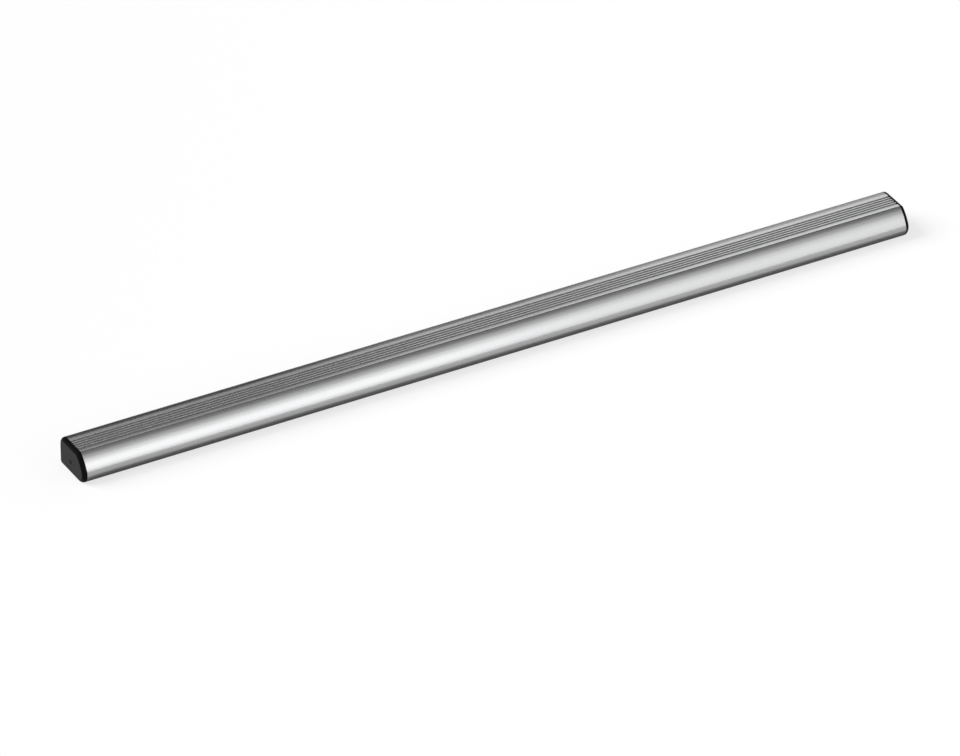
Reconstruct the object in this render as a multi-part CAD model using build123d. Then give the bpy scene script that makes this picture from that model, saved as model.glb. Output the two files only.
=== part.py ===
from build123d import *
from math import sqrt
import os

# Roof rack crossbar: one hollow aluminium extrusion, a moulded cap on each end and a screw through each cap.
# Millimetres. X runs along the bar, -Y is the curved front face, +Z is up, and the underside lies at Z = 0.

# Overall size
bar_length = 1200.0
bar_width = 66.0
bar_height = 41.5

# Outline of the section
crease_from_rear = 48.8
crease_radius = 2.0
front_radius = 49.3
nose_radius = 15.5
rear_top_radius = 11.5
heel_radius = 6.0

# Walls of the extrusion
side_wall = 2.0
top_wall = 3.0
web_thickness = 2.0
inner_corner_radius = 0.5

# Ribbed load face
groove_count = 5
groove_pitch = 4.74
groove_mouth = 3.4
groove_floor = 3.0
groove_depth = 1.0
groove_field_from_rear = 31.5
groove_edge_radius = 0.25

# T-slot along the underside, for the bolts of the feet
slot_from_rear = 31.7
slot_mouth = 10.5
slot_chamber_width = 21.0
slot_chamber_height = 8.0
slot_lip = 2.6
slot_wall = 2.0

# Screw port on the web, and the self-tapping screw that it takes
port_height = 18.7
port_wall = 2.0
screw_radius = 1.45
screw_clearance = 0.1
screw_length = 13.0
screw_tip_length = 2.5
head_radius = 2.8
head_height = 2.2
head_edge_chamfer = 0.8
head_sink = 0.3
head_clearance = 0.3
drive_span = 3.0
drive_blade = 0.7
drive_depth = 1.3

# End caps
cap_thickness = 6.0
cap_edge_radius = 5.5
cap_edge_limit = 0.95
cap_face_wall = 2.4
cap_rim_wall = 3.0
cap_rib = 1.8
boss_wall = 1.5
plug_length = 12.0
plug_wall = 1.6
plug_clearance = 0.25
plug_lead_in = 0.6

# Places that follow from the sizes above
rear_y = bar_width / 2
front_y = -bar_width / 2
crease_y = rear_y - crease_from_rear
slot_y = rear_y - slot_from_rear
groove_field_y = rear_y - groove_field_from_rear
seam_x = bar_length / 2 - cap_thickness
end_x = bar_length / 2
slot_roof_z = slot_lip + slot_chamber_height
port_bore_radius = screw_radius + screw_clearance
port_radius = port_bore_radius + port_wall
head_recess_radius = head_radius + head_clearance
head_recess_depth = head_height + head_sink
boss_radius = head_recess_radius + boss_wall


def front_arc_centre():
    """Centre of the front arc, which passes through the crease and runs smoothly into the nose arc."""
    nose = Vector(front_y + nose_radius, nose_radius)
    to_crease = Vector(crease_y, bar_height) - nose
    span = to_crease.length
    reach = front_radius - nose_radius
    along = (reach**2 - front_radius**2 + span**2) / (2 * span)
    aside = sqrt(reach**2 - along**2)
    unit = to_crease / span
    return nose + unit * along + Vector(unit.Y, -unit.X) * aside


def section_outline(inset, top_inset):
    """Face of the bar's section, moved inwards by inset, and by top_inset at the load face."""
    front = front_arc_centre()
    nose = Vector(front_y + nose_radius, nose_radius)
    rear_top = Vector(rear_y - rear_top_radius, bar_height - rear_top_radius)
    heel = Vector(rear_y - heel_radius, heel_radius)
    top_z = bar_height - top_inset
    rear_arc = rear_top_radius - inset
    front_arc = front_radius - inset
    nose_arc = nose_radius - inset
    heel_arc = heel_radius - inset
    rear_rise = top_z - rear_top.Y
    rear_end = Vector(rear_top.X + sqrt(max(rear_arc**2 - rear_rise**2, 0.0)), top_z)
    crease = Vector(front.X - sqrt(front_arc**2 - (top_z - front.Y) ** 2), top_z)
    smooth = (nose - front) / (nose - front).length
    front_end = nose + smooth * nose_arc
    front_middle = front + ((crease + front_end) / 2 - front).normalized() * front_arc
    nose_low = nose - Vector(0, nose_arc)
    nose_middle = nose + ((front_end + nose_low) / 2 - nose).normalized() * nose_arc
    rear_side = rear_top + Vector(rear_arc, 0)
    rear_middle = rear_top + ((rear_side + rear_end) / 2 - rear_top).normalized() * rear_arc
    heel_low = heel - Vector(0, heel_arc)
    heel_side = heel + Vector(heel_arc, 0)
    heel_middle = heel + Vector(1, -1).normalized() * heel_arc
    edges = [
        Line(heel_side, rear_side),
        ThreePointArc(rear_side, rear_middle, rear_end),
        Line(rear_end, crease),
        ThreePointArc(crease, front_middle, front_end),
        ThreePointArc(front_end, nose_middle, nose_low),
        Line(nose_low, heel_low),
        ThreePointArc(heel_low, heel_middle, heel_side),
    ]
    return make_face(edges)


def block(width, height, y, low_z):
    """Rectangle in the section, centred on y, standing on low_z."""
    return Pos(y, low_z + height / 2) * Rectangle(width, height)


def rounded_inside(face):
    """The hollow with its outward corners rounded, as a die leaves them."""
    shrunk = offset(face, amount=-inner_corner_radius, kind=Kind.INTERSECTION)
    return offset(shrunk, amount=inner_corner_radius, kind=Kind.ARC)


def hollow_beside(divider_width):
    """The bar's hollow round the T-slot's casing, split over the slot by a divider of that width."""
    casing_width = slot_chamber_width + 2 * slot_wall
    hollow = section_outline(side_wall, top_wall)
    hollow -= block(casing_width, slot_roof_z + slot_wall, slot_y, 0)
    return hollow - block(divider_width, bar_height, slot_y, 0)


def hollow_cells():
    """The two hollows of the bar, behind and in front of the web and its screw port."""
    hollow = hollow_beside(web_thickness)
    hollow -= Pos(slot_y, port_height) * Circle(port_radius)
    return [rounded_inside(cell) for cell in hollow.faces()]


def plug_cells():
    """The part of each hollow that lies clear of the screw port, where the plugs of the caps go."""
    return hollow_beside(2 * port_radius).faces()


def load_face_grooves():
    """Row of tapered grooves that leaves the ribs on the load face."""
    half_mouth = groove_mouth / 2
    half_floor = groove_floor / 2
    groove = make_face(
        Polyline(
            (-half_mouth, 0),
            (-half_floor, -groove_depth),
            (half_floor, -groove_depth),
            (half_mouth, 0),
            close=True,
        )
    )
    first = groove_field_y - groove_pitch * (groove_count - 1) / 2
    return [Pos(first + groove_pitch * n, bar_height) * groove for n in range(groove_count)]


def load_face_corners(section):
    """Corners of the section along the load face, from the crease to the start of the rear rounding."""
    return section.vertices().group_by(Axis.Y)[-1].sort_by(Axis.X)


def along_bar(face, start_x, length):
    """Solid made by running a section face along the bar from start_x."""
    return extrude(Plane.YZ.offset(start_x) * face, amount=length)


def crossbar_extrusion():
    """The bar itself: outline, hollows, screw port, T-slot and grooves in one section, run along its length."""
    section = section_outline(0, 0)
    for cell in hollow_cells():
        section -= cell
    section -= block(slot_mouth, slot_lip, slot_y, 0)
    section -= block(slot_chamber_width, slot_chamber_height, slot_y, slot_lip)
    section -= Pos(slot_y, port_height) * Circle(port_bore_radius)
    for groove in load_face_grooves():
        section -= groove
    section = fillet(load_face_corners(section)[1:-1], groove_edge_radius)
    section = fillet(load_face_corners(section)[0], crease_radius)
    return along_bar(section, -seam_x, 2 * seam_x)


def plug_ring(cell):
    """One plug of the cap: a tube that follows the walls of its hollow, with a lead-in at its free end."""
    root_x = -end_x + cap_face_wall
    tip_x = -seam_x + plug_length
    outside = offset(cell, amount=-plug_clearance, kind=Kind.INTERSECTION)
    bore = offset(cell, amount=-plug_clearance - plug_wall, kind=Kind.INTERSECTION)
    ring = along_bar(outside, root_x, tip_x - root_x)
    tip = ring.faces().sort_by(Axis.X)[-1]
    ring = chamfer(tip.edges(), plug_lead_in)
    return ring - along_bar(bore, root_x, tip_x - root_x)


def left_end_cap():
    """Moulded cap: a rounded shell flush with the bar, two plugs, a rib along the web and a screw boss."""
    shell = along_bar(section_outline(0, 0), -end_x, cap_thickness)
    rounding = min(cap_edge_radius, cap_edge_limit * heel_radius, cap_edge_limit * cap_thickness)
    shell = fillet(shell.faces().sort_by(Axis.X)[0].edges(), rounding)
    floor_x = -end_x + cap_face_wall
    pocket_depth = cap_thickness - cap_face_wall
    shell -= along_bar(section_outline(cap_rim_wall, cap_rim_wall), floor_x, pocket_depth)
    rib = block(cap_rib, bar_height - 2 * cap_rim_wall, slot_y, cap_rim_wall)
    shell += along_bar(rib, floor_x, pocket_depth)
    for cell in plug_cells():
        shell += plug_ring(cell)
    centre = Pos(slot_y, port_height)
    shell += along_bar(centre * Circle(boss_radius), floor_x, pocket_depth)
    shell -= along_bar(centre * Circle(screw_radius + head_clearance), -end_x, cap_thickness)
    shell -= along_bar(centre * Circle(head_recess_radius), -end_x, head_recess_depth)
    return shell


def left_cap_screw():
    """Pan-head self-tapping screw, drawn along +Z from the top of its head and then laid along the bar."""
    shank_end = head_height + screw_length - screw_tip_length
    half_section = make_face(
        Polyline(
            (0, 0),
            (head_radius - head_edge_chamfer, 0),
            (head_radius, head_edge_chamfer),
            (head_radius, head_height),
            (screw_radius, head_height),
            (screw_radius, shank_end),
            (0, shank_end + screw_tip_length),
            close=True,
        )
    )
    screw = revolve(Plane.XZ * half_section, Axis.Z)
    cross = Rectangle(drive_span, drive_blade) + Rectangle(drive_blade, drive_span)
    screw -= extrude(cross, amount=drive_depth)
    return Pos(-end_x + head_sink, slot_y, port_height) * Rot(0, 90, 0) * screw


def main():
    os.makedirs("parts", exist_ok=True)
    cap = left_end_cap()
    screw = left_cap_screw()
    pieces = {
        "crossbar_extrusion": crossbar_extrusion(),
        "left_end_cap": cap,
        "right_end_cap": mirror(cap, about=Plane.YZ),
        "left_cap_screw": screw,
        "right_cap_screw": mirror(screw, about=Plane.YZ),
    }
    for name, piece in pieces.items():
        export_step(piece, f"parts/{name}.step")
        print(name, f"{piece.volume:.0f} mm3", piece.bounding_box().size)


main()
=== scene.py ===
# %% [markdown]
# # Dressing a roof rack crossbar
# The real bar is one hollow aluminium extrusion with a moulded black cap screwed to each end.
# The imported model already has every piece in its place, so this lesson only adds the looks.
# It starts by loading that model and keeping its box, because the dressed bar has to stay inside it.

import math

import bmesh
import bpy
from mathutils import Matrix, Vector


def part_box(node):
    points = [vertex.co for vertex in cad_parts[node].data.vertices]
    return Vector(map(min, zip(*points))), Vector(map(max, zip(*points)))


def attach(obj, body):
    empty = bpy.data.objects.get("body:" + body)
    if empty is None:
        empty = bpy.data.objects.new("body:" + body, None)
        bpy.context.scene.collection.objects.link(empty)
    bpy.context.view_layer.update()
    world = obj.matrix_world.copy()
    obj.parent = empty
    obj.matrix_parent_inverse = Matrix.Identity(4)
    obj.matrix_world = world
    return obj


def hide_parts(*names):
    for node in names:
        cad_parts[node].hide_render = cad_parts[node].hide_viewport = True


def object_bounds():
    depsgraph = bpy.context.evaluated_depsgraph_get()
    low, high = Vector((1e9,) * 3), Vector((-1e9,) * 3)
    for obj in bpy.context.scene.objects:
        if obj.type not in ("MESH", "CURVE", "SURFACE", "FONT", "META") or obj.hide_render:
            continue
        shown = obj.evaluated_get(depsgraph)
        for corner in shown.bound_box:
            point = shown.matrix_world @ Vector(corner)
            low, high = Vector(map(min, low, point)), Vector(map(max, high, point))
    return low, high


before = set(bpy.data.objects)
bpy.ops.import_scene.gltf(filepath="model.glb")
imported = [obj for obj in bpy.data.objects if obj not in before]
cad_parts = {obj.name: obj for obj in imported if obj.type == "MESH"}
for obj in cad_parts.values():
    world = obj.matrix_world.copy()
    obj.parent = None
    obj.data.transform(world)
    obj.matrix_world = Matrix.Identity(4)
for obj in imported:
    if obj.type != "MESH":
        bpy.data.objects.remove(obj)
cad_low, cad_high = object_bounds()
bar_low, bar_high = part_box("crossbar_extrusion")
print("packed nodes:", sorted(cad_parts))
print("packed box in metres:", tuple(cad_low), tuple(cad_high))

# %% [markdown]
# ## The section
# An extrusion is drawn once, as the opening of a die, and then pushed out at full length.
# So the bar is best made the same way here: one outline in the Y-Z plane, run along X.
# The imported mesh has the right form, but its large front arc is only a few flat strips, and satin metal shows
# each strip as a band. The outline below has arcs of two degrees a step and small radii on the ribs.
# A point of the outline is (y, z, corner radius), and a radius of zero leaves the point as it is.

# %% Sizes of the section
MM = 0.001

crease_from_rear = 48.8 * MM
crease_radius = 2.0 * MM
front_radius = 49.3 * MM
nose_radius = 15.5 * MM
rear_top_radius = 11.5 * MM
heel_radius = 6.0 * MM

rear_y = bar_high.y
front_y = bar_low.y
top_z = bar_high.z
crease_y = rear_y - crease_from_rear
nose_centre = (front_y + nose_radius, nose_radius)
rear_top_centre = (rear_y - rear_top_radius, top_z - rear_top_radius)
heel_centre = (rear_y - heel_radius, heel_radius)


def find_front_centre():
    """Centre of the front arc, which passes through the crease and runs smoothly into the nose arc."""
    nose = Vector(nose_centre)
    to_crease = Vector((crease_y, top_z)) - nose
    span = to_crease.length
    reach = front_radius - nose_radius
    along = (reach**2 - front_radius**2 + span**2) / (2 * span)
    aside = math.sqrt(reach**2 - along**2)
    unit = to_crease / span
    return nose + unit * along + Vector((unit.y, -unit.x)) * aside


front_centre = find_front_centre()
nose_start = math.atan2(nose_centre[1] - front_centre.y, nose_centre[0] - front_centre.x)
print("front arc centre in mm:", [round(value / MM, 2) for value in front_centre])

# %% Helpers for drawing outlines
arc_step = math.radians(2)
corner_step = math.radians(14)

# Directions in the section: angles that start at the rear and count over the top to the front
rearward = 0.0
upward = math.radians(90)
downward = math.radians(-90)
downward_past_front = math.radians(270)
one_step_short_of_round = math.radians(358)


def arc(centre, radius, start, end):
    """Points on an arc from the start angle to the end angle, without corner rounding."""
    steps = max(1, math.ceil(abs(end - start) / arc_step))
    angles = [start + (end - start) * i / steps for i in range(steps + 1)]
    return [(centre[0] + radius * math.cos(a), centre[1] + radius * math.sin(a), 0.0) for a in angles]


def rounded(corners):
    """The closed outline with an arc of the given radius in place of each rounded corner."""
    outline = []
    for i, (y, z, radius) in enumerate(corners):
        if radius == 0.0:
            outline.append((y, z))
            continue
        point = Vector((y, z))
        before = Vector(corners[i - 1][:2]) - point
        after = Vector(corners[(i + 1) % len(corners)][:2]) - point
        opening = before.angle(after)
        reach = radius / math.tan(opening / 2)
        start = point + before.normalized() * reach
        end = point + after.normalized() * reach
        middle = (before.normalized() + after.normalized()).normalized()
        centre = point + middle * (radius / math.sin(opening / 2))
        first = start - centre
        turn = first.angle_signed(end - centre)
        steps = max(2, math.ceil(abs(turn) / corner_step))
        for k in range(steps + 1):
            angle = -turn * k / steps
            c, s = math.cos(angle), math.sin(angle)
            outline.append((centre.x + first.x * c - first.y * s, centre.y + first.x * s + first.y * c))
    return outline


print("heel arc:", len(arc(heel_centre, heel_radius, downward, rearward)), "points")

# %% [markdown]
# ## Ribs and T-slot
# The load face has five tapered grooves, which leave the ribs that keep a load from sliding.
# The underside has a T-slot: a narrow mouth with a wider chamber above it, for the T-nuts of the feet.
# Both are stretches of the same outline, so they are written as corner lists and joined into it.
#
# The flat lands beside the grooves are not quite flat on the real bar: the rear one rolls off softly to the rear
# edge, and the front one dips a little towards its groove. A mirror shows a slope of one degree, so both are drawn.
# They lie less than 0.4 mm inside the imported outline.

# %% Corners of the lands and grooves
groove_count = 5
groove_pitch = 4.74 * MM
groove_mouth = 3.4 * MM
groove_floor = 3.0 * MM
groove_depth = 1.0 * MM
groove_field_from_rear = 31.5 * MM
rib_edge_radius = 0.25 * MM
groove_floor_radius = 0.3 * MM
groove_field_y = rear_y - groove_field_from_rear

rear_tight_radius = 8.0 * MM
rear_tight_start = math.radians(53.6)
rear_soft_start = math.radians(78)
front_land_roll = 4.8 * MM
front_land_drop = 0.085 * MM
front_land_steps = 5


def rear_rounding():
    """Rear corner of the load face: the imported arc, which tightens and then rolls out softly into the rear land."""
    points = arc(rear_top_centre, rear_top_radius, rearward, rear_tight_start)
    stretches = [(rear_tight_radius, rear_tight_start, rear_soft_start), (None, rear_soft_start, upward)]
    for radius, start, end in stretches:
        y, z, _ = points[-1]
        # The soft stretch has the radius that ends it level with the load face
        radius = radius or (top_z - z) / (1 - math.sin(start))
        centre = (y - radius * math.cos(start), z - radius * math.sin(start))
        points += arc(centre, radius, start, end)[1:]
    return points


def groove_corners():
    """Corners of the load face from the rear groove to the front one, with the dip of the front land."""
    corners = []
    floor_z = top_z - groove_depth
    for n in range(groove_count):
        y = groove_field_y + groove_pitch * ((groove_count - 1) / 2 - n)
        corners += [
            (y + groove_mouth / 2, top_z, rib_edge_radius),
            (y + groove_floor / 2, floor_z, groove_floor_radius),
            (y - groove_floor / 2, floor_z, groove_floor_radius),
            (y - groove_mouth / 2, top_z, rib_edge_radius),
        ]
    edge_y, edge_z, edge_radius = corners.pop()
    corners.append((edge_y, edge_z - front_land_drop, edge_radius))
    for step in range(1, front_land_steps + 1):
        share = step / front_land_steps
        drop = front_land_drop * (1 - share) ** 2
        corners.append((edge_y - front_land_roll * share, edge_z - drop, 0.0))
    return corners


print("rear corner:", len(rear_rounding()), "points; grooves and front land:", len(groove_corners()), "corners")

# %% Corners of the T-slot, and the whole outer outline
slot_from_rear = 31.7 * MM
slot_mouth = 10.5 * MM
slot_chamber_width = 21.0 * MM
slot_chamber_height = 8.0 * MM
slot_lip = 2.6 * MM
slot_edge_radius = 0.3 * MM
slot_y = rear_y - slot_from_rear
slot_roof_z = slot_lip + slot_chamber_height


def slot_corners():
    """Corners of the T-slot from its front lip to its rear lip."""
    half = [
        (slot_mouth / 2, 0.0),
        (slot_mouth / 2, slot_lip),
        (slot_chamber_width / 2, slot_lip),
        (slot_chamber_width / 2, slot_roof_z),
    ]
    front = [(slot_y - y, z, slot_edge_radius) for y, z in half]
    rear = [(slot_y + y, z, slot_edge_radius) for y, z in reversed(half)]
    return front + rear


front_arc_start = math.atan2(top_z - front_centre.y, crease_y - front_centre.x) + arc_step / 2
outer_outline = rounded(
    arc(heel_centre, heel_radius, downward, rearward)
    + rear_rounding()
    + groove_corners()
    + [(crease_y, top_z, crease_radius)]
    + arc(front_centre, front_radius, front_arc_start, nose_start)
    + arc(nose_centre, nose_radius, nose_start, downward_past_front)[1:]
    + slot_corners()
)
print("outer outline:", len(outer_outline), "points")

# %% [markdown]
# ## Hollows
# Inside, a web under the load face splits the bar into two cells, and a round port on the web takes the screws of
# the caps. The caps hide all of this, but the bar is kept as a real extrusion, so that it can be used without them.

# %% Outlines of the two cells and of the screw port
side_wall = 2.0 * MM
top_wall = 3.0 * MM
slot_wall = 2.0 * MM
web_thickness = 2.0 * MM
cell_corner_radius = 0.5 * MM
port_z = 18.7 * MM
port_bore_radius = 1.55 * MM
port_wall = 2.0 * MM

ceiling_z = top_z - top_wall
web_half = web_thickness / 2
casing_half = slot_chamber_width / 2 + slot_wall
casing_z = slot_roof_z + slot_wall
port_radius = port_bore_radius + port_wall


def cell_outline(side, wall_points):
    """Outline of one cell. Side is 1 behind the web and -1 in front of it; wall_points run up the outer wall."""
    web_y = slot_y + side * web_half
    casing_y = slot_y + side * casing_half
    half_turn = math.acos(web_half / port_radius)
    port = [
        (slot_y + side * (y - slot_y), z, 0.0)
        for y, z, _ in arc((slot_y, port_z), port_radius, half_turn, -half_turn)
    ]
    corners = [(casing_y, side_wall, cell_corner_radius)] + wall_points
    corners += [(web_y, ceiling_z, cell_corner_radius)] + port
    corners += [(web_y, casing_z, cell_corner_radius), (casing_y, casing_z, 0.0)]
    return rounded(corners)


rear_wall_radius = rear_top_radius - side_wall
rear_wall_end = math.asin((ceiling_z - rear_top_centre[1]) / rear_wall_radius)
rear_cell = cell_outline(
    1,
    arc(heel_centre, heel_radius - side_wall, downward, rearward)
    + arc(rear_top_centre, rear_wall_radius, rearward, rear_wall_end),
)
front_wall_radius = front_radius - side_wall
front_wall_end = math.pi - math.asin((ceiling_z - front_centre.y) / front_wall_radius)
front_cell = cell_outline(
    -1,
    arc(nose_centre, nose_radius - side_wall, downward_past_front, nose_start)
    + arc(front_centre, front_wall_radius, nose_start, front_wall_end)[1:],
)
port_arc = arc((slot_y, port_z), port_bore_radius, rearward, one_step_short_of_round)
port_bore = [(y, z) for y, z, _ in port_arc]
print("cells:", len(rear_cell), "and", len(front_cell), "points; bore:", len(port_bore), "points")

# %% [markdown]
# ## The bar
# A curve with a bevel or a Solidify modifier could push the section out too. Plain bmesh code is as short, and it
# leaves even quads along the bar, with the same points at each station. The ends are filled round the hollows.
# Weighted normals keep the flat lands flat, while the small radii beside them stay smooth.

# %% Push the section out along X
station_count = 13
sharp_angle = math.radians(32)
large_face_weight = 100


def extrude_section(name, loops, start_x, end_x):
    """Mesh object of closed loops, the first of them the outside, run along X and filled at both ends."""
    bm = bmesh.new()
    stations = [start_x + (end_x - start_x) * i / (station_count - 1) for i in range(station_count)]
    end_edges = {start_x: [], end_x: []}
    for loop in loops:
        rows = [[bm.verts.new((x, y, z)) for y, z in loop] for x in stations]
        for near, far in zip(rows, rows[1:]):
            for i in range(len(loop)):
                bm.faces.new((near[i - 1], near[i], far[i], far[i - 1]))
        for x, row in ((start_x, rows[0]), (end_x, rows[-1])):
            end_edges[x] += [bm.edges.get((row[i - 1], row[i])) for i in range(len(row))]
    for edges in end_edges.values():
        bmesh.ops.triangle_fill(bm, use_beauty=True, edges=edges)
    bmesh.ops.recalc_face_normals(bm, faces=bm.faces)
    mesh = bpy.data.meshes.new(name)
    bm.to_mesh(mesh)
    bm.free()
    mesh.shade_smooth()
    mesh.set_sharp_from_angle(angle=sharp_angle)
    piece = bpy.data.objects.new(name, mesh)
    bpy.context.scene.collection.objects.link(piece)
    return piece


bar = extrude_section(
    "crossbar_satin_bar",
    [outer_outline, rear_cell, front_cell, port_bore],
    bar_low.x,
    bar_high.x,
)
lands = bar.modifiers.new("flat lands", "WEIGHTED_NORMAL")
lands.keep_sharp = True
lands.weight = large_face_weight
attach(bar, "root")
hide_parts("crossbar_extrusion")
print("bar mesh:", len(bar.data.polygons), "faces")

# %% [markdown]
# ## Shared effects
# Two effects come back in several finishes, so each is a node group with its own inputs.
# One makes soft smudges that vary the gloss, and one makes the fine grain of a moulded or coated surface.
# Both take their place from object coordinates, because the pieces have no texture map.
# Nodes could be placed by hand in the Shader Editor. Small helpers do the same here and keep each finish short.

# %% Helpers for nodes


def feed(tree, socket, setting):
    """Links another node's output to a socket, or gives the socket a plain value."""
    if isinstance(setting, bpy.types.NodeSocket):
        tree.links.new(setting, socket)
    else:
        socket.default_value = setting


def ramp(tree, value, start, end, low=0.0, high=1.0, smooth=False):
    """Map Range node: as the value goes from start to end, the result goes from low to high."""
    node = tree.nodes.new("ShaderNodeMapRange")
    if smooth:
        node.interpolation_type = "SMOOTHSTEP"
    settings = {"Value": value, "From Min": start, "From Max": end, "To Min": low, "To Max": high}
    for socket, setting in settings.items():
        feed(tree, node.inputs[socket], setting)
    return node.outputs["Result"]


def noise(tree, vector, scale, detail):
    """Noise texture on a vector, with a number or a socket as its scale."""
    node = tree.nodes.new("ShaderNodeTexNoise")
    for socket, setting in (("Vector", vector), ("Scale", scale), ("Detail", detail)):
        feed(tree, node.inputs[socket], setting)
    return node.outputs["Fac"]


def object_place(tree, stretch=(1, 1, 1)):
    """Object coordinates in metres, multiplied by stretch on each axis."""
    place = tree.nodes.new("ShaderNodeTexCoord").outputs["Object"]
    scale = tree.nodes.new("ShaderNodeVectorMath")
    scale.operation = "MULTIPLY"
    feed(tree, scale.inputs[0], place)
    feed(tree, scale.inputs[1], stretch)
    return scale.outputs["Vector"]


print("helpers for nodes: feed, ramp, noise, object_place")

# %% Node groups


def new_group(name, inputs, outputs):
    """Empty shader group with float inputs (name, value) and float outputs, ready for its nodes."""
    group = bpy.data.node_groups.new(name, "ShaderNodeTree")
    for socket, value in inputs:
        item = group.interface.new_socket(socket, in_out="INPUT", socket_type="NodeSocketFloat")
        item.default_value = value
    for socket in outputs:
        group.interface.new_socket(socket, in_out="OUTPUT", socket_type="NodeSocketFloat")
    ends = group.nodes.new("NodeGroupInput"), group.nodes.new("NodeGroupOutput")
    return group, *ends


smudges, smudges_in, smudges_out = new_group(
    "handling smudges", [("Scale", 14.0), ("Clean", 0.3), ("Smudged", 0.4)], ["Roughness"]
)
patches = noise(smudges, object_place(smudges), smudges_in.outputs["Scale"], detail=3)
patch_gloss = ramp(smudges, patches, 0.0, 1.0, smudges_in.outputs["Clean"], smudges_in.outputs["Smudged"])
feed(smudges, smudges_out.inputs["Roughness"], patch_gloss)

grain, grain_in, grain_out = new_group("moulded grain", [("Scale", 900.0)], ["Height"])
bumps = noise(grain, object_place(grain), grain_in.outputs["Scale"], detail=2)
feed(grain, grain_out.inputs["Height"], bumps)
print("node groups:", [group.name for group in bpy.data.node_groups])

# %% [markdown]
# ## Satin anodised aluminium
# The die leaves fine lines along the bar, and the anodising leaves a soft grey satin over them.
# Noise that is stretched two thousand times along X gives such lines on every face, with no texture map.
# The lines change the roughness and a very shallow bump. The metal's colour changes only a little.
# The grooves are painted darker than the lands, as painted shade in the recesses. A mask finds them by their
# depth below the load face.

# %% Helpers for materials


def new_material(name, colour, metallic, roughness):
    """Material with a Principled shader, and what its finish needs to add nodes to it."""
    material = bpy.data.materials.new(name)
    material.use_nodes = True
    shader = material.node_tree.nodes["Principled BSDF"]
    shader.inputs["Base Color"].default_value = (*colour, 1.0)
    shader.inputs["Metallic"].default_value = metallic
    shader.inputs["Roughness"].default_value = roughness
    material.diffuse_color = (*colour, 1.0)
    return material, material.node_tree, shader


def add_group(tree, group, output, **settings):
    """One output of a group that is placed in a material with its own input values."""
    node = tree.nodes.new("ShaderNodeGroup")
    node.node_tree = group
    for socket, value in settings.items():
        feed(tree, node.inputs[socket], value)
    return node.outputs[output]


def add_bump(tree, shader, height, strength, distance):
    """Bump from a height, wired to the shader's normal."""
    node = tree.nodes.new("ShaderNodeBump")
    for socket, setting in (("Strength", strength), ("Distance", distance), ("Height", height)):
        feed(tree, node.inputs[socket], setting)
    feed(tree, shader.inputs["Normal"], node.outputs["Normal"])


def mix_colours(tree, factor, first, second):
    """Mix node from the first colour to the second; each is three numbers or a socket."""
    node = tree.nodes.new("ShaderNodeMix")
    node.data_type = "RGBA"
    feed(tree, node.inputs["Factor"], factor)
    for socket, colour in (("A", first), ("B", second)):
        feed(tree, node.inputs[socket], (*colour, 1.0) if isinstance(colour, tuple) else colour)
    return node.outputs["Result"]


print("helpers for materials: new_material, add_group, add_bump, mix_colours")

# %% Mask of the grooves
groove_field_half = (groove_pitch * (groove_count - 1) + groove_mouth) / 2


def calculate(tree, operation, *terms):
    """Math node on its terms, which are numbers or sockets."""
    node = tree.nodes.new("ShaderNodeMath")
    node.operation = operation
    for socket, term in zip(node.inputs, terms):
        feed(tree, socket, term)
    return node.outputs["Value"]


def split_axes(tree, vector):
    """The X, Y and Z parts of a vector, as outputs by name."""
    node = tree.nodes.new("ShaderNodeSeparateXYZ")
    feed(tree, node.inputs["Vector"], vector)
    return node.outputs


def groove_mask(tree):
    """Value that is 1 on the floors of the load face's grooves and 0 on the ribs and everywhere else."""
    place = split_axes(tree, object_place(tree))
    in_field = calculate(tree, "COMPARE", place["Y"], groove_field_y, groove_field_half)
    depth = ramp(tree, place["Z"], top_z - rib_edge_radius, top_z - groove_depth)
    return calculate(tree, "MULTIPLY", in_field, depth)


print("groove field:", round(2 * groove_field_half / MM, 2), "mm wide")

# %% Finish of the bar
aluminium_colour = (0.66, 0.662, 0.668)
darker_lines = (0.645, 0.647, 0.653)
lighter_lines = (0.675, 0.677, 0.683)
groove_painted_shade = (0.34, 0.34, 0.344)
line_stretch = (1.5, 3000.0, 3000.0)
line_roughness = 0.03


def satin_aluminium():
    """Clear satin anodised aluminium with die lines along the bar."""
    material, tree, shader = new_material("satin anodised aluminium", aluminium_colour, metallic=1.0, roughness=0.32)
    lines = noise(tree, object_place(tree, line_stretch), scale=1.0, detail=3)
    gloss = add_group(tree, smudges, "Roughness", Scale=9.0, Clean=0.19, Smudged=0.24)
    line_gloss = ramp(tree, lines, 0.0, 1.0, -line_roughness, line_roughness)
    feed(tree, shader.inputs["Roughness"], calculate(tree, "ADD", gloss, line_gloss))
    tint = mix_colours(tree, lines, darker_lines, lighter_lines)
    # The grooves are painted darker here: painted shade in the recesses of the load face.
    feed(tree, shader.inputs["Base Color"], mix_colours(tree, groove_mask(tree), tint, groove_painted_shade))
    add_bump(tree, shader, lines, strength=0.15, distance=0.01 * MM)
    return material


bar.data.materials.append(satin_aluminium())
print("finish:", bar.data.materials[0].name)

# %% [markdown]
# ## Black caps and screws
# The caps are moulded in black plastic: the flat end face has a fine matte grain, and the rounded rim is smoother.
# The end face is painted a lighter grey as painted light, and the rim a deeper black as painted shade.
# A mask along X tells the two apart, because the face is the outermost quarter of a millimetre of the bar.
# The screws are black coated steel, duller than the rim. The imported meshes of both are fine enough to stay, so they
# only get these finishes.

# %% Finish of the caps
cap_colour = (0.006, 0.006, 0.0063)
rim_painted_shade = (0.003, 0.003, 0.0032)
face_painted_light = (0.0258, 0.0258, 0.0262)
cap_gloss_level = 0.07
face_roughness = 0.5
rim_grain = 0.25
face_start = 0.25 * MM
face_full = 0.02 * MM


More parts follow.
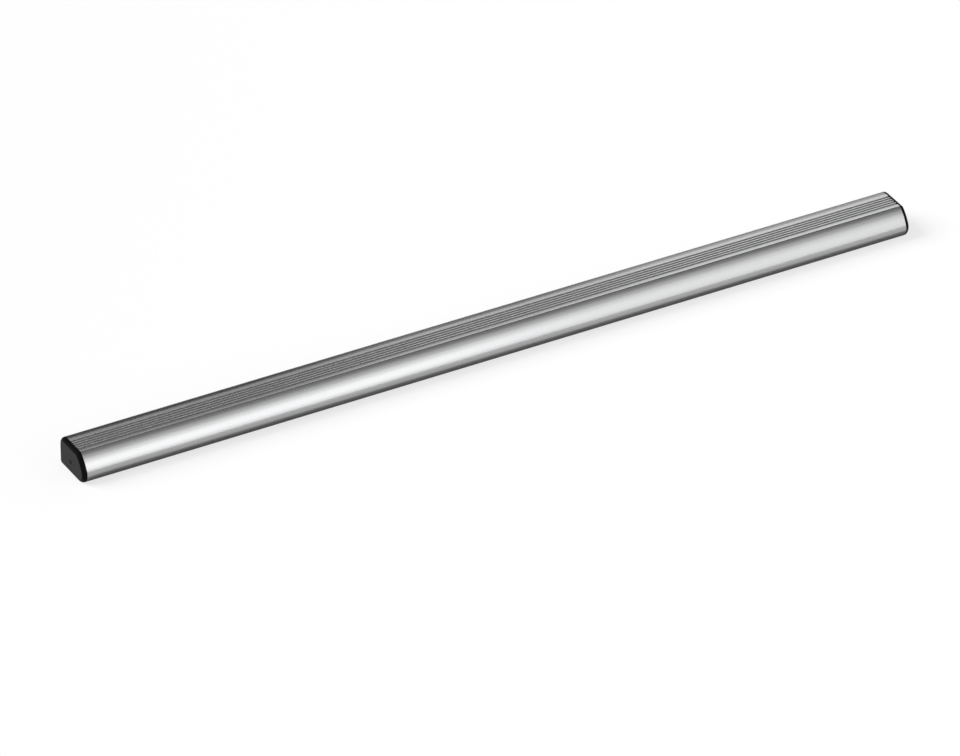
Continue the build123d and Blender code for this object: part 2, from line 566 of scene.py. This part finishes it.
def cap_plastic():
    """Black moulded plastic, grained on the end face and smoother on the rim, with painted light on the face and
    painted shade on the rim.
    """
    material, tree, shader = new_material("black moulded plastic", cap_colour, metallic=0.0, roughness=0.4)
    shader.inputs["Specular IOR Level"].default_value = cap_gloss_level
    outward = calculate(tree, "ABSOLUTE", split_axes(tree, object_place(tree))["X"])
    face = ramp(tree, outward, cad_high.x - face_start, cad_high.x - face_full, smooth=True)
    # The rim is painted a deeper black as painted shade, and the end face a lighter grey as painted light.
    feed(tree, shader.inputs["Base Color"], mix_colours(tree, face, rim_painted_shade, face_painted_light))
    smooth_rim = add_group(tree, smudges, "Roughness", Scale=60.0, Clean=0.08, Smudged=0.14)
    feed(tree, shader.inputs["Roughness"], ramp(tree, face, 0.0, 1.0, smooth_rim, face_roughness))
    bumps = add_group(tree, grain, "Height", Scale=1400.0)
    height = calculate(tree, "MULTIPLY", bumps, ramp(tree, face, 0.0, 1.0, rim_grain, 1.0))
    add_bump(tree, shader, height, strength=0.25, distance=0.1 * MM)
    return material


cap_finish = cap_plastic()
for cap in ("left_end_cap", "right_end_cap"):
    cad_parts[cap].data.materials[0] = cap_finish
print("finish:", cap_finish.name)

# %% Finish of the screws
screw_colour = (0.005, 0.005, 0.005)
screw_gloss_level = 0.45


def screw_coating():
    """Black coated steel with light smudges."""
    material, tree, shader = new_material("black coated steel", screw_colour, metallic=0.0, roughness=0.5)
    shader.inputs["Specular IOR Level"].default_value = screw_gloss_level
    gloss = add_group(tree, smudges, "Roughness", Scale=300.0, Clean=0.42, Smudged=0.58)
    feed(tree, shader.inputs["Roughness"], gloss)
    add_bump(tree, shader, add_group(tree, grain, "Height", Scale=2500.0), strength=0.15, distance=0.05 * MM)
    return material


screw_finish = screw_coating()
for screw in ("left_cap_screw", "right_cap_screw"):
    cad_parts[screw].data.materials[0] = screw_finish
print("finish:", screw_finish.name)

# %% [markdown]
# ## Floor and cards
# Satin metal has no look of its own: it shows the room around it. On white paper alone the nose of the bar would be
# as white as the paper, so cards lie on it, as in a studio. A grey one lies all round the bar, and a narrow dark one
# under the nose is a painted contact shadow, which draws the dark line along the lower edge. The cards are seen in
# reflections only.
# The paper itself is mixed with an even white wherever the camera or a reflection sees it. What is left of its own
# shading keeps the bar's soft shadow.

# %% Floor
floor_size = 14.0
floor_drop = 0.2 * MM
paper_shade = 0.9
even_white = 0.7
pure_white = (1.0, 1.0, 1.0, 1.0)


def matte_paper(name, shade):
    """Matte grey or white paper."""
    material, tree, shader = new_material(name, (shade, shade, shade), metallic=0.0, roughness=1.0)
    shader.inputs["Specular IOR Level"].default_value = 0.0
    return material, tree, shader


def white_paper():
    """Matte white paper, mixed with an even white for the camera and for reflections."""
    material, tree, shader = matte_paper("white paper floor", paper_shade)
    path = tree.nodes.new("ShaderNodeLightPath").outputs
    mirrored = calculate(tree, "ADD", path["Is Glossy Ray"], path["Is Transmission Ray"])
    seen = calculate(tree, "ADD", path["Is Camera Ray"], mirrored)
    white = tree.nodes.new("ShaderNodeEmission")
    white.inputs["Color"].default_value = pure_white
    white.inputs["Strength"].default_value = 1.0
    mix = tree.nodes.new("ShaderNodeMixShader")
    feed(tree, mix.inputs["Fac"], ramp(tree, seen, 0.0, 1.0, 0.0, even_white))
    feed(tree, mix.inputs[1], shader.outputs["BSDF"])
    feed(tree, mix.inputs[2], white.outputs["Emission"])
    feed(tree, tree.nodes["Material Output"].inputs["Surface"], mix.outputs["Shader"])
    return material


bpy.ops.mesh.primitive_plane_add(size=floor_size, location=(0.0, 0.0, -floor_drop))
floor = bpy.context.object
floor.name = "studio_floor"
floor.data.materials.append(white_paper())
print("floor:", floor.name, "of", floor_size, "m")

# %% Cards for the reflections
# Name, middle (x, y), size along x and y, shade
cards = [
    ("grey_card", (0.0, 0.0), (2.2, 0.9), 0.48),
    # The narrow dark card under the nose is a painted contact shadow, seen in reflections only.
    ("painted_shadow_card_under_the_nose", (0.03, -0.02), (1.26, 0.05), 0.26),
]

for layer, (name, place, size, shade) in enumerate(cards):
    height = floor_drop * ((layer + 1) / (len(cards) + 1) - 1)
    bpy.ops.mesh.primitive_plane_add(size=1.0, location=(*place, height))
    card = bpy.context.object
    card.name = name
    card.scale = (*size, 1.0)
    card.data.materials.append(matte_paper(name, shade)[0])
    card.visible_camera = False
    card.visible_diffuse = False
    card.visible_shadow = False
print("cards:", [name for name, *_ in cards])

# %% [markdown]
# ## Light
# Each lamp is placed by what a face of the bar mirrors towards the camera. The front arc mirrors rows of panels in
# front of the bar, one above the other, and their steps of brightness run together into one soft gradient on the
# metal. The load face mirrors panels behind the bar that get brighter to the right, so it gets lighter towards the
# far end. The panels stand side by side, because one lamp behind another is lost in a reflection.
# A wide soft light from the rear left lights the paper and the caps, and its shadow falls along the bar. It is kept
# out of reflections, so that no view finds a face of the bar blown out by it.
# The room is dim. It is lighter overhead, on the left and at the far right. The bar mirrors none of these towards the
# camera, but they light its faces in other views.

# %% Room
room_light = 0.07
# Axis of the direction, where along it the glow starts, where it is full, its strength
room_glows = [
    ("Z", 0.93, 0.985, 0.5),
    ("X", -0.15, -0.5, 0.45),
    ("X", 0.56, 0.8, 0.5),
]


def dim_room():
    """World of a dim room, lighter overhead, on the left and at the far right."""
    room = bpy.data.worlds.new("dim room")
    room.use_nodes = True
    tree = room.node_tree
    direction = split_axes(tree, tree.nodes.new("ShaderNodeTexCoord").outputs["Generated"])
    strength = room_light
    for axis, start, full, glow in room_glows:
        strength = calculate(tree, "ADD", strength, ramp(tree, direction[axis], start, full, high=glow, smooth=True))
    background = tree.nodes["Background"]
    background.inputs["Color"].default_value = pure_white
    feed(tree, background.inputs["Strength"], strength)
    return room


bpy.context.scene.world = dim_room()
print("room:", bpy.context.scene.world.name, "with", len(room_glows), "glows")

# %% Panels
in_front, behind = -1, 1
front_distance = 1.6
rear_distance = 2.2
bar_middle_z = top_z / 2

# Name, side, lower and upper edge in degrees above the floor, columns of (left x, right x, radiance)
panel_rows = [
    ("lower front panel", in_front, 2, 15, [(-1.1, 1.7, 0.95)]),
    ("front soft box", in_front, 15, 36, [(-1.1, 0.75, 1.42), (0.75, 1.7, 1.07)]),
    ("front soft box edge", in_front, 36, 47, [(-0.25, 0.75, 0.98), (0.75, 1.7, 0.9)]),
    ("upper front panel", in_front, 47, 59, [(-0.25, 1.7, 0.5)]),
    ("top front panel", in_front, 59, 75, [(-0.25, 1.7, 0.12)]),
    ("lower rear panel", behind, 14, 36, [(0.75, 1.2, 0.17), (1.2, 3.0, 0.42)]),
    ("rear panel", behind, 36, 48, [(-0.6, 0.75, 0.6), (0.75, 1.2, 0.97), (1.2, 3.0, 1.27)]),
]


def aim(thing, target):
    """Turns a lamp or camera so that it looks at a point."""
    thing.rotation_mode = "QUATERNION"
    thing.rotation_quaternion = (Vector(target) - thing.location).to_track_quat("-Z", "Y")


def soft_box(name, place, target, width, height, radiance):
    """Rectangular lamp that shows the given radiance, where 1 is white."""
    lamp = bpy.data.lights.new(name, "AREA")
    lamp.shape = "RECTANGLE"
    lamp.size = width
    lamp.size_y = height
    lamp.energy = radiance * math.pi * width * height
    holder = bpy.data.objects.new(name, lamp)
    holder.location = place
    holder.visible_camera = False
    bpy.context.scene.collection.objects.link(holder)
    aim(holder, target)


for name, side, low, high, columns in panel_rows:
    distance = front_distance if side == in_front else rear_distance
    tilt = math.radians(low + high) / 2
    height = 2 * distance * math.tan(math.radians(high - low) / 2)
    y = side * distance * math.cos(tilt)
    z = bar_middle_z + distance * math.sin(tilt)
    for left_x, right_x, radiance in columns:
        x = (left_x + right_x) / 2
        soft_box(name, (x, y, z), (x, 0.0, bar_middle_z), right_x - left_x, height, radiance)
print("panels:", [lamp.name for lamp in bpy.data.lights])

# %% Soft light
soft_light_name = "soft light along the bar"
soft_light = bpy.data.lights.new(soft_light_name, "SUN")
soft_light.energy = 3.4
soft_light.angle = math.radians(45)
soft_light_holder = bpy.data.objects.new(soft_light_name, soft_light)
soft_light_holder.location = (-2.2, 1.1, 1.9)
soft_light_holder.visible_glossy = False
bpy.context.scene.collection.objects.link(soft_light_holder)
aim(soft_light_holder, (0.0, 0.0, 0.0))
print("soft light:", soft_light.name)

# %% [markdown]
# ## Camera
# The photograph was fitted with a pinhole camera: the angle, the distance and the lens below place the bar's edges
# on those of the photograph. A long lens from far away gives its almost parallel lines.

# %% Camera
image_width = 960
sensor_width = 36.0
focal_pixels = 9303.4
azimuth = math.radians(-29.208)
elevation = math.radians(32.743)
camera_distance = 11.8072
slide_right = -0.01606
slide_up = -0.03778

photo_camera = bpy.data.cameras.new("photo_camera")
photo_camera.sensor_width = sensor_width
photo_camera.lens = focal_pixels / image_width * sensor_width
camera = bpy.data.objects.new("photo_camera", photo_camera)
bpy.context.scene.collection.objects.link(camera)
back = Vector(
    (
        math.sin(azimuth) * math.cos(elevation),
        -math.cos(azimuth) * math.cos(elevation),
        math.sin(elevation),
    )
)
right = Vector((math.cos(azimuth), math.sin(azimuth), 0.0))
up = back.cross(right)
camera.location = back * camera_distance + right * slide_right + up * slide_up
aim(camera, camera.location - back)
bpy.context.scene.camera = camera
bpy.context.scene.view_settings.view_transform = "Standard"
print("camera at", [round(value, 3) for value in camera.location], "lens", round(photo_camera.lens, 1))
